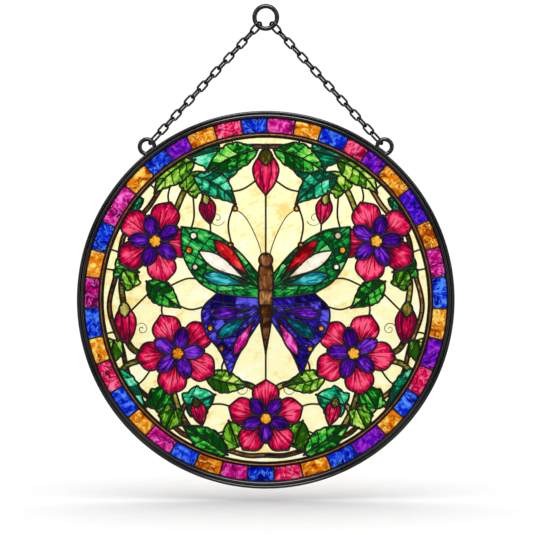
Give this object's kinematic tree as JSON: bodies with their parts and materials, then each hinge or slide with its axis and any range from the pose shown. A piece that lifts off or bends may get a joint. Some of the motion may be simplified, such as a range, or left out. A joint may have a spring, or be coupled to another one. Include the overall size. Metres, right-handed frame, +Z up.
{
  "type": "stained glass suncatcher",
  "caption": "Round leaded glass panel in a black metal hoop, hung by two chains from a ring, with a bordered butterfly and blossom picture.",
  "frame": {"origin": "the top of the hanging ring's hole, where the ring rests on its hook", "axes": "+Z up, -Y out of the panel's front, +X to the right as the front is seen"},
  "size_m": [0.254, 0.009, 0.3263],
  "materials": {
    "black_metal": "satin black, lightly worn to grey on the beads",
    "blackened_lead": "black patina on lead and solder, satin",
    "copper": "aged copper, darkened in the hollows",
    "ground_glass": "cream wispy opalescent glass",
    "leaf_glass": "streaky green glass, light to dark",
    "blossom_glass": "streaky crimson and magenta glass",
    "heart_glass": "amber glass",
    "bud_glass": "crimson glass",
    "wing_upper_glass": "emerald and teal glass",
    "wing_lower_glass": "blue and violet glass",
    "butterfly_body_glass": "brown glass",
    "border_glass": "crackled tiles in magenta, amber, blue, crimson and violet"
  },
  "bodies": {
    "root": {"blossom_bottom": "blossom_glass", "blossom_bottom_heart": "heart_glass", "blossom_lower_heart_left": "heart_glass", "blossom_lower_heart_right": "heart_glass", "blossom_lower_left": "blossom_glass", "blossom_lower_right": "blossom_glass", "blossom_upper_heart_left": "heart_glass", "blossom_upper_heart_right": "heart_glass", "blossom_upper_left": "blossom_glass", "blossom_upper_right": "blossom_glass", "border_glass": "border_glass", "bud_side_left": "bud_glass", "bud_side_right": "bud_glass", "bud_top": "bud_glass", "butterfly_body": "butterfly_body_glass", "chain_left": "black_metal", "chain_right": "black_metal", "copper_bead_ring": "copper", "eye_left": "black_metal", "eye_right": "black_metal", "ground_1": "ground_glass", "ground_10": "ground_glass", "ground_11": "ground_glass", "ground_12": "ground_glass", "ground_13": "ground_glass", "ground_14": "ground_glass", "ground_15": "ground_glass", "ground_2": "ground_glass", "ground_3": "ground_glass", "ground_4": "ground_glass", "ground_5": "ground_glass", "ground_6": "ground_glass", "ground_7": "ground_glass", "ground_8": "ground_glass", "ground_9": "ground_glass", "hanging_ring": "black_metal", "hoop": "black_metal", "lead_lines": "blackened_lead", "leaf_brow_left": "leaf_glass", "leaf_brow_right": "leaf_glass", "leaf_foot_left": "leaf_glass", "leaf_foot_right": "leaf_glass", "leaf_hip_left": "leaf_glass", "leaf_hip_right": "leaf_glass", "leaf_shoulder_left": "leaf_glass", "leaf_shoulder_right": "leaf_glass", "leaf_skirt_left": "leaf_glass", "leaf_skirt_right": "leaf_glass", "leaf_top_left": "leaf_glass", "leaf_top_right": "leaf_glass", "leaf_waist_left": "leaf_glass", "leaf_waist_right": "leaf_glass", "wing_lower_left_1": "wing_lower_glass", "wing_lower_left_2": "wing_lower_glass", "wing_lower_right_1": "wing_lower_glass", "wing_lower_right_2": "wing_lower_glass", "wing_upper_left_1": "wing_upper_glass", "wing_upper_left_2": "wing_upper_glass", "wing_upper_right_1": "wing_upper_glass", "wing_upper_right_2": "wing_upper_glass"}
  },
  "joints": []
}
